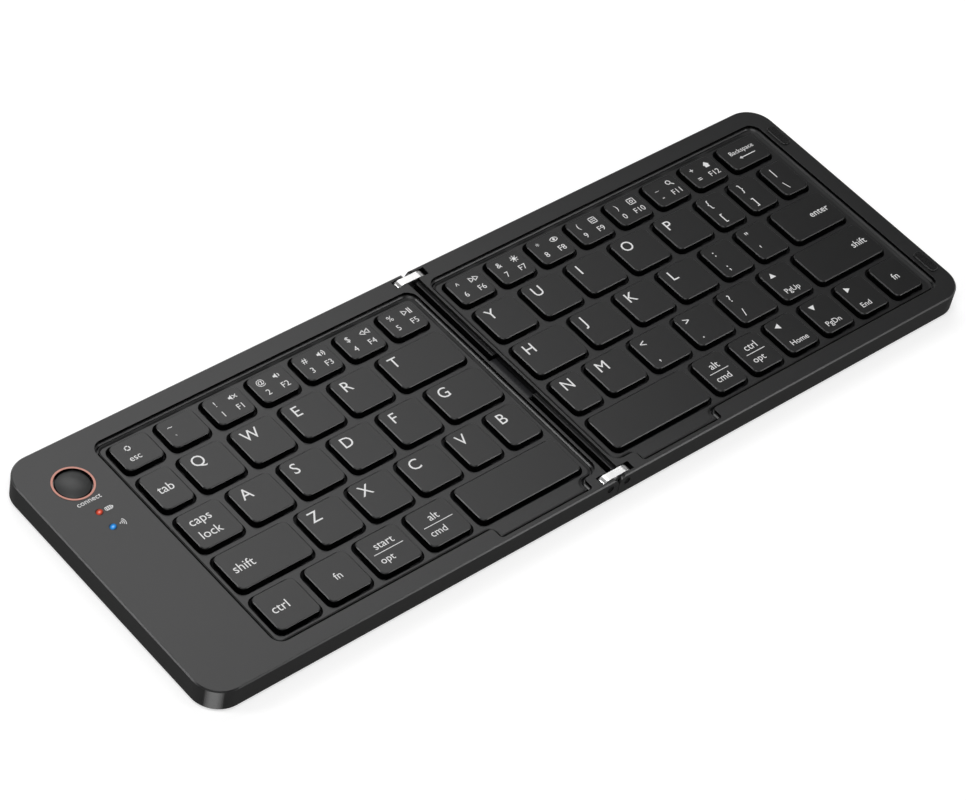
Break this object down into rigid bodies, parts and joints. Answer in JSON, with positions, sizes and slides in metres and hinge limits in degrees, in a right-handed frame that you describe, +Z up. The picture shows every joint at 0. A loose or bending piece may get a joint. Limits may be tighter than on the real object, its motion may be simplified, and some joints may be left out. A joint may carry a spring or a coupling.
{
  "type": "folding keyboard",
  "caption": "Thin two-part folding keyboard on a pair of two-pivot hinge links, with hollow caps in sunken wells and a control panel at one end.",
  "frame": {"origin": "centre of the keyboard's footprint when it lies open, on the surface under its feet", "axes": "+X along the open keyboard from the control panel's end to the other end, +Y from the typist to the rear, +Z up"},
  "size_m": [0.284, 0.0946, 0.0086],
  "materials": {
    "frame_plastic": "satin",
    "cover_plastic": "matte",
    "bed_plastic": "satin",
    "steel_plate": "brushed",
    "silicone": "matte",
    "foot_rubber": "matte",
    "hinge_pin_steel": "satin",
    "battery_foil": "satin",
    "circuit_board": "gloss",
    "socket_metal": "satin",
    "ring_plastic": "gloss",
    "button_plastic": "satin",
    "charge_light": "lit",
    "pairing_light": "lit",
    "pad_rubber": "matte",
    "hinge_chrome": "polished",
    "ribbon_film": "satin",
    "key_caps": "satin"
  },
  "bodies": {
    "left_half": {"left_top_frame": "frame_plastic", "left_bottom_cover": "cover_plastic", "left_key_bed": "bed_plastic", "left_support_plate": "steel_plate", "left_dome_sheet": "silicone", "left_feet": "foot_rubber", "left_hinge_pins": "hinge_pin_steel", "battery": "battery_foil", "main_board": "circuit_board", "charge_socket": "socket_metal", "connect_ring": "ring_plastic", "charge_light": "charge_light", "pairing_light": "pairing_light"},
    "hinge_links": {"rear_hinge_link": "hinge_chrome", "front_hinge_link": "hinge_chrome", "ribbon_cable": "ribbon_film"},
    "right_half": {"right_top_frame": "frame_plastic", "right_bottom_cover": "cover_plastic", "right_key_bed": "bed_plastic", "right_support_plate": "steel_plate", "right_dome_sheet": "silicone", "right_feet": "foot_rubber", "right_hinge_pins": "hinge_pin_steel", "closure_pads": "pad_rubber"},
    "button": {"connect_button": "button_plastic"},
    "left_space_bar_cap": {"left_space_bar": "key_caps"},
    "right_space_bar_cap": {"right_space_bar": "key_caps"},
    "enter_key_cap": {"enter_key": "key_caps"},
    "key_a_cap": {"key_a": "key_caps"},
    "key_b_cap": {"key_b": "key_caps"},
    "key_c_cap": {"key_c": "key_caps"},
    "key_d_cap": {"key_d": "key_caps"},
    "key_e_cap": {"key_e": "key_caps"},
    "key_f_cap": {"key_f": "key_caps"},
    "key_g_cap": {"key_g": "key_caps"},
    "key_h_cap": {"key_h": "key_caps"},
    "key_i_cap": {"key_i": "key_caps"},
    "key_j_cap": {"key_j": "key_caps"},
    "key_k_cap": {"key_k": "key_caps"},
    "key_l_cap": {"key_l": "key_caps"},
    "key_m_cap": {"key_m": "key_caps"},
    "key_n_cap": {"key_n": "key_caps"},
    "key_o_cap": {"key_o": "key_caps"},
    "key_p_cap": {"key_p": "key_caps"},
    "key_q_cap": {"key_q": "key_caps"},
    "key_r_cap": {"key_r": "key_caps"},
    "key_s_cap": {"key_s": "key_caps"},
    "key_t_cap": {"key_t": "key_caps"},
    "key_u_cap": {"key_u": "key_caps"},
    "key_v_cap": {"key_v": "key_caps"},
    "key_w_cap": {"key_w": "key_caps"},
    "key_x_cap": {"key_x": "key_caps"},
    "key_y_cap": {"key_y": "key_caps"},
    "key_z_cap": {"key_z": "key_caps"},
    "left_number_keys_caps": {"left_number_keys": "key_caps"},
    "left_side_keys_caps": {"left_side_keys": "key_caps"},
    "right_number_keys_caps": {"right_number_keys": "key_caps"},
    "punctuation_keys_caps": {"punctuation_keys": "key_caps"},
    "arrow_keys_caps": {"arrow_keys": "key_caps"},
    "right_side_keys_caps": {"right_side_keys": "key_caps"}
  },
  "joints": [
    {"name": "fold_links", "type": "hinge", "parent": "left_half", "child": "hinge_links", "pos_m": [-0.0031, 0, 0.0053], "axis": [0, -1, 0], "range_deg": [0, 90], "deforming": ["ribbon_cable"]},
    {"name": "fold_right_half", "type": "hinge", "parent": "hinge_links", "child": "right_half", "pos_m": [0.0031, 0, 0.0053], "axis": [0, -1, 0], "range_deg": [0, 90], "deforming": ["ribbon_cable"]},
    {"name": "connect_press", "type": "slide", "parent": "left_half", "child": "button", "axis": [0, 0, -1], "range_m": [0, 0.0008], "stiffness_N_per_m": 400, "springref_m": -0.0002},
    {"name": "key_press_left_space_bar", "type": "slide", "parent": "left_half", "child": "left_space_bar_cap", "axis": [0, 0, -1], "range_m": [0, 0.0013], "stiffness_N_per_m": 400, "springref_m": -0.0003, "deforming": ["left_dome_sheet"]},
    {"name": "key_press_right_space_bar", "type": "slide", "parent": "right_half", "child": "right_space_bar_cap", "axis": [0, 0, -1], "range_m": [0, 0.0013], "stiffness_N_per_m": 400, "springref_m": -0.0003, "deforming": ["right_dome_sheet"]},
    {"name": "key_press_enter_key", "type": "slide", "parent": "right_half", "child": "enter_key_cap", "axis": [0, 0, -1], "range_m": [0, 0.0013], "stiffness_N_per_m": 400, "springref_m": -0.0003, "deforming": ["right_dome_sheet"]},
    {"name": "key_press_a", "type": "slide", "parent": "left_half", "child": "key_a_cap", "axis": [0, 0, -1], "range_m": [0, 0.0013], "stiffness_N_per_m": 400, "springref_m": -0.0003, "deforming": ["left_dome_sheet"]},
    {"name": "key_press_b", "type": "slide", "parent": "left_half", "child": "key_b_cap", "axis": [0, 0, -1], "range_m": [0, 0.0013], "stiffness_N_per_m": 400, "springref_m": -0.0003, "deforming": ["left_dome_sheet"]},
    {"name": "key_press_c", "type": "slide", "parent": "left_half", "child": "key_c_cap", "axis": [0, 0, -1], "range_m": [0, 0.0013], "stiffness_N_per_m": 400, "springref_m": -0.0003, "deforming": ["left_dome_sheet"]},
    {"name": "key_press_d", "type": "slide", "parent": "left_half", "child": "key_d_cap", "axis": [0, 0, -1], "range_m": [0, 0.0013], "stiffness_N_per_m": 400, "springref_m": -0.0003, "deforming": ["left_dome_sheet"]},
    {"name": "key_press_e", "type": "slide", "parent": "left_half", "child": "key_e_cap", "axis": [0, 0, -1], "range_m": [0, 0.0013], "stiffness_N_per_m": 400, "springref_m": -0.0003, "deforming": ["left_dome_sheet"]},
    {"name": "key_press_f", "type": "slide", "parent": "left_half", "child": "key_f_cap", "axis": [0, 0, -1], "range_m": [0, 0.0013], "stiffness_N_per_m": 400, "springref_m": -0.0003, "deforming": ["left_dome_sheet"]},
    {"name": "key_press_g", "type": "slide", "parent": "left_half", "child": "key_g_cap", "axis": [0, 0, -1], "range_m": [0, 0.0013], "stiffness_N_per_m": 400, "springref_m": -0.0003, "deforming": ["left_dome_sheet"]},
    {"name": "key_press_h", "type": "slide", "parent": "right_half", "child": "key_h_cap", "axis": [0, 0, -1], "range_m": [0, 0.0013], "stiffness_N_per_m": 400, "springref_m": -0.0003, "deforming": ["right_dome_sheet"]},
    {"name": "key_press_i", "type": "slide", "parent": "right_half", "child": "key_i_cap", "axis": [0, 0, -1], "range_m": [0, 0.0013], "stiffness_N_per_m": 400, "springref_m": -0.0003, "deforming": ["right_dome_sheet"]},
    {"name": "key_press_j", "type": "slide", "parent": "right_half", "child": "key_j_cap", "axis": [0, 0, -1], "range_m": [0, 0.0013], "stiffness_N_per_m": 400, "springref_m": -0.0003, "deforming": ["right_dome_sheet"]},
    {"name": "key_press_k", "type": "slide", "parent": "right_half", "child": "key_k_cap", "axis": [0, 0, -1], "range_m": [0, 0.0013], "stiffness_N_per_m": 400, "springref_m": -0.0003, "deforming": ["right_dome_sheet"]},
    {"name": "key_press_l", "type": "slide", "parent": "right_half", "child": "key_l_cap", "axis": [0, 0, -1], "range_m": [0, 0.0013], "stiffness_N_per_m": 400, "springref_m": -0.0003, "deforming": ["right_dome_sheet"]},
    {"name": "key_press_m", "type": "slide", "parent": "right_half", "child": "key_m_cap", "axis": [0, 0, -1], "range_m": [0, 0.0013], "stiffness_N_per_m": 400, "springref_m": -0.0003, "deforming": ["right_dome_sheet"]},
    {"name": "key_press_n", "type": "slide", "parent": "right_half", "child": "key_n_cap", "axis": [0, 0, -1], "range_m": [0, 0.0013], "stiffness_N_per_m": 400, "springref_m": -0.0003, "deforming": ["right_dome_sheet"]},
    {"name": "key_press_o", "type": "slide", "parent": "right_half", "child": "key_o_cap", "axis": [0, 0, -1], "range_m": [0, 0.0013], "stiffness_N_per_m": 400, "springref_m": -0.0003, "deforming": ["right_dome_sheet"]},
    {"name": "key_press_p", "type": "slide", "parent": "right_half", "child": "key_p_cap", "axis": [0, 0, -1], "range_m": [0, 0.0013], "stiffness_N_per_m": 400, "springref_m": -0.0003, "deforming": ["right_dome_sheet"]},
    {"name": "key_press_q", "type": "slide", "parent": "left_half", "child": "key_q_cap", "axis": [0, 0, -1], "range_m": [0, 0.0013], "stiffness_N_per_m": 400, "springref_m": -0.0003, "deforming": ["left_dome_sheet"]},
    {"name": "key_press_r", "type": "slide", "parent": "left_half", "child": "key_r_cap", "axis": [0, 0, -1], "range_m": [0, 0.0013], "stiffness_N_per_m": 400, "springref_m": -0.0003, "deforming": ["left_dome_sheet"]},
    {"name": "key_press_s", "type": "slide", "parent": "left_half", "child": "key_s_cap", "axis": [0, 0, -1], "range_m": [0, 0.0013], "stiffness_N_per_m": 400, "springref_m": -0.0003, "deforming": ["left_dome_sheet"]},
    {"name": "key_press_t", "type": "slide", "parent": "left_half", "child": "key_t_cap", "axis": [0, 0, -1], "range_m": [0, 0.0013], "stiffness_N_per_m": 400, "springref_m": -0.0003, "deforming": ["left_dome_sheet"]},
    {"name": "key_press_u", "type": "slide", "parent": "right_half", "child": "key_u_cap", "axis": [0, 0, -1], "range_m": [0, 0.0013], "stiffness_N_per_m": 400, "springref_m": -0.0003, "deforming": ["right_dome_sheet"]},
    {"name": "key_press_v", "type": "slide", "parent": "left_half", "child": "key_v_cap", "axis": [0, 0, -1], "range_m": [0, 0.0013], "stiffness_N_per_m": 400, "springref_m": -0.0003, "deforming": ["left_dome_sheet"]},
    {"name": "key_press_w", "type": "slide", "parent": "left_half", "child": "key_w_cap", "axis": [0, 0, -1], "range_m": [0, 0.0013], "stiffness_N_per_m": 400, "springref_m": -0.0003, "deforming": ["left_dome_sheet"]},
    {"name": "key_press_x", "type": "slide", "parent": "left_half", "child": "key_x_cap", "axis": [0, 0, -1], "range_m": [0, 0.0013], "stiffness_N_per_m": 400, "springref_m": -0.0003, "deforming": ["left_dome_sheet"]},
    {"name": "key_press_y", "type": "slide", "parent": "right_half", "child": "key_y_cap", "axis": [0, 0, -1], "range_m": [0, 0.0013], "stiffness_N_per_m": 400, "springref_m": -0.0003, "deforming": ["right_dome_sheet"]},
    {"name": "key_press_z", "type": "slide", "parent": "left_half", "child": "key_z_cap", "axis": [0, 0, -1], "range_m": [0, 0.0013], "stiffness_N_per_m": 400, "springref_m": -0.0003, "deforming": ["left_dome_sheet"]},
    {"name": "key_press_left_number_keys", "type": "slide", "parent": "left_half", "child": "left_number_keys_caps", "axis": [0, 0, -1], "range_m": [0, 0.0013], "stiffness_N_per_m": 2800, "springref_m": -0.0003, "deforming": ["left_dome_sheet"]},
    {"name": "key_press_left_side_keys", "type": "slide", "parent": "left_half", "child": "left_side_keys_caps", "axis": [0, 0, -1], "range_m": [0, 0.0013], "stiffness_N_per_m": 2800, "springref_m": -0.0003, "deforming": ["left_dome_sheet"]},
    {"name": "key_press_right_number_keys", "type": "slide", "parent": "right_half", "child": "right_number_keys_caps", "axis": [0, 0, -1], "range_m": [0, 0.0013], "stiffness_N_per_m": 3200, "springref_m": -0.0003, "deforming": ["right_dome_sheet"]},
    {"name": "key_press_punctuation_keys", "type": "slide", "parent": "right_half", "child": "punctuation_keys_caps", "axis": [0, 0, -1], "range_m": [0, 0.0013], "stiffness_N_per_m": 3200, "springref_m": -0.0003, "deforming": ["right_dome_sheet"]},
    {"name": "key_press_arrow_keys", "type": "slide", "parent": "right_half", "child": "arrow_keys_caps", "axis": [0, 0, -1], "range_m": [0, 0.0013], "stiffness_N_per_m": 1600, "springref_m": -0.0003, "deforming": ["right_dome_sheet"]},
    {"name": "key_press_right_side_keys", "type": "slide", "parent": "right_half", "child": "right_side_keys_caps", "axis": [0, 0, -1], "range_m": [0, 0.0013], "stiffness_N_per_m": 1600, "springref_m": -0.0003, "deforming": ["right_dome_sheet"]}
  ]
}
